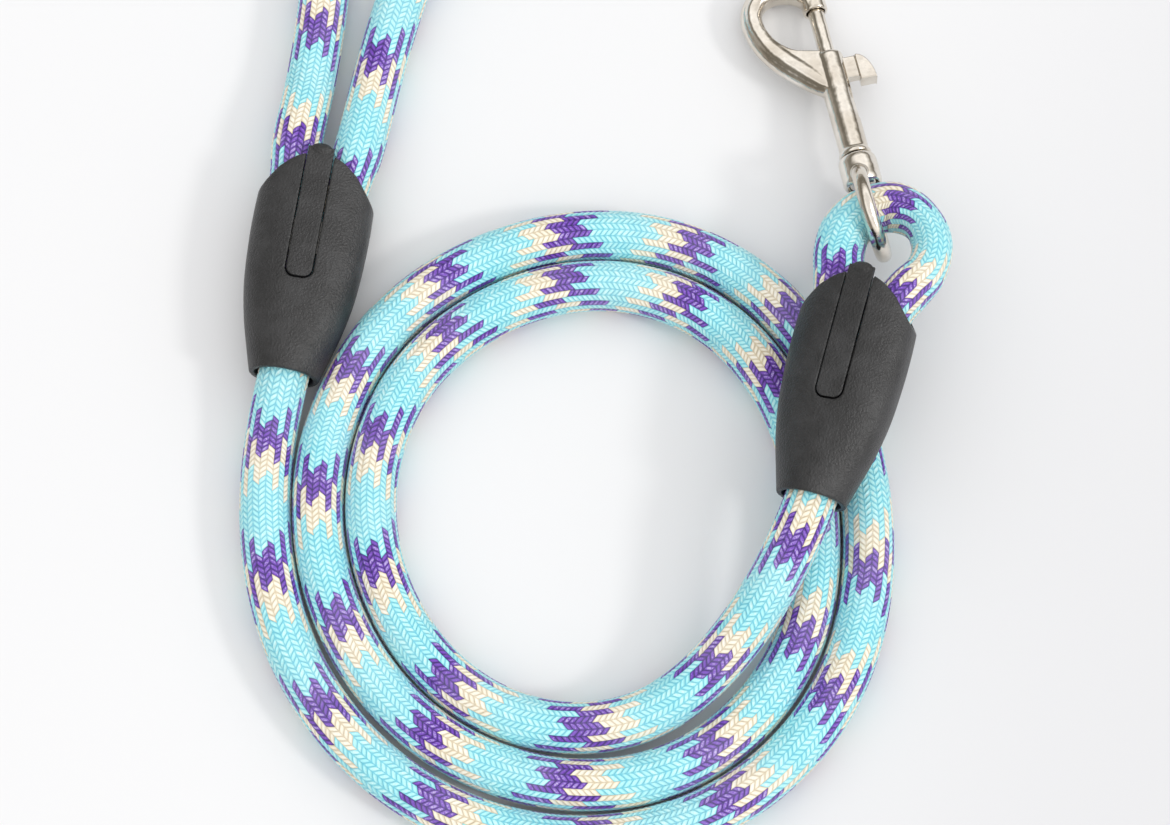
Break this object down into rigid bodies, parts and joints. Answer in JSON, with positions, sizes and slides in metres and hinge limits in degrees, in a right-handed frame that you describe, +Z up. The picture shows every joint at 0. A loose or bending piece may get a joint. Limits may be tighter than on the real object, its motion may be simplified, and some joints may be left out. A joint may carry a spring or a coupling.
{
  "type": "lead rope",
  "caption": "Braided rope lead, laid in a flat coil, with a hand loop and a swivel bolt snap, each rope end held in a moulded sleeve.",
  "frame": {"origin": "under the middle of the whole lead as it lies coiled, on the floor plane (bounding box bottom centre)", "axes": "+Z up from the floor the lead lies on; +Y from the coil towards the far end of the hand loop; +X to the side where the bolt snap lies"},
  "size_m": [0.1658, 0.3652, 0.0314],
  "materials": {
    "jacket": "braided, soft sheen, aqua with purple and cream diamonds",
    "core": "matt white fibre core",
    "sleeve": "satin moulded black, fine grain",
    "crimp": "plain pressed",
    "nickel": "bright nickel plate on a die casting",
    "spring_wire": "bare spring steel"
  },
  "bodies": {
    "coil": {"coil_jacket": "jacket", "coil_core": "core"},
    "handle_sleeve": {"handle_end_jacket": "jacket", "handle_end_core": "core", "handle_tail_jacket": "jacket", "handle_tail_core": "core", "handle_sleeve": "sleeve", "handle_sleeve_key": "sleeve", "handle_crimp_band": "crimp"},
    "handle_loop": {"handle_loop_jacket": "jacket", "handle_loop_core": "core"},
    "snap_sleeve": {"snap_end_jacket": "jacket", "snap_end_core": "core", "snap_sleeve": "sleeve", "snap_sleeve_key": "sleeve", "snap_crimp_band": "crimp"},
    "swivel": {"swivel_eye": "nickel"},
    "snap": {"snap_body": "nickel", "bolt_spring": "spring_wire"},
    "bolt": {"snap_bolt": "nickel", "thumb_knob": "nickel"}
  },
  "joints": [
    {"name": "handle_sleeve_bend", "type": "hinge", "parent": "coil", "child": "handle_sleeve", "pos_m": [-0.07511, -0.07731, 0.00751], "axis": [0.9802, -0.1981, 0], "range_deg": [0, 35], "stiffness_Nm_per_rad": 0.05},
    {"name": "handle_loop_lift", "type": "hinge", "parent": "handle_sleeve", "child": "handle_loop", "pos_m": [-0.06325, -0.00752, 0.00781], "axis": [0.986, -0.1665, 0.0091], "range_deg": [0, 60], "stiffness_Nm_per_rad": 0.05},
    {"name": "snap_sleeve_bend", "type": "hinge", "parent": "coil", "child": "snap_sleeve", "pos_m": [0.0454, -0.10892, 0.02065], "axis": [0.9073, -0.4205, 0], "range_deg": [0, 30], "stiffness_Nm_per_rad": 0.05},
    {"name": "eye_swing", "type": "hinge", "parent": "snap_sleeve", "child": "swivel", "pos_m": [0.06438, -0.02932, 0.01482], "axis": [0.9288, 0.3704, 0.0036], "range_deg": [0, 60]},
    {"name": "snap_swivel", "type": "hinge", "parent": "swivel", "child": "snap", "pos_m": [0.06726, -0.04135, 0.0163], "axis": [-0.2062, 0.9642, -0.1669], "continuous": true},
    {"name": "bolt_slide", "type": "slide", "parent": "snap", "child": "bolt", "axis": [0.2062, -0.9642, 0.1669], "range_m": [0, 0.01], "stiffness_N_per_m": 300, "springref_m": -0.006, "deforming": ["bolt_spring"]}
  ]
}
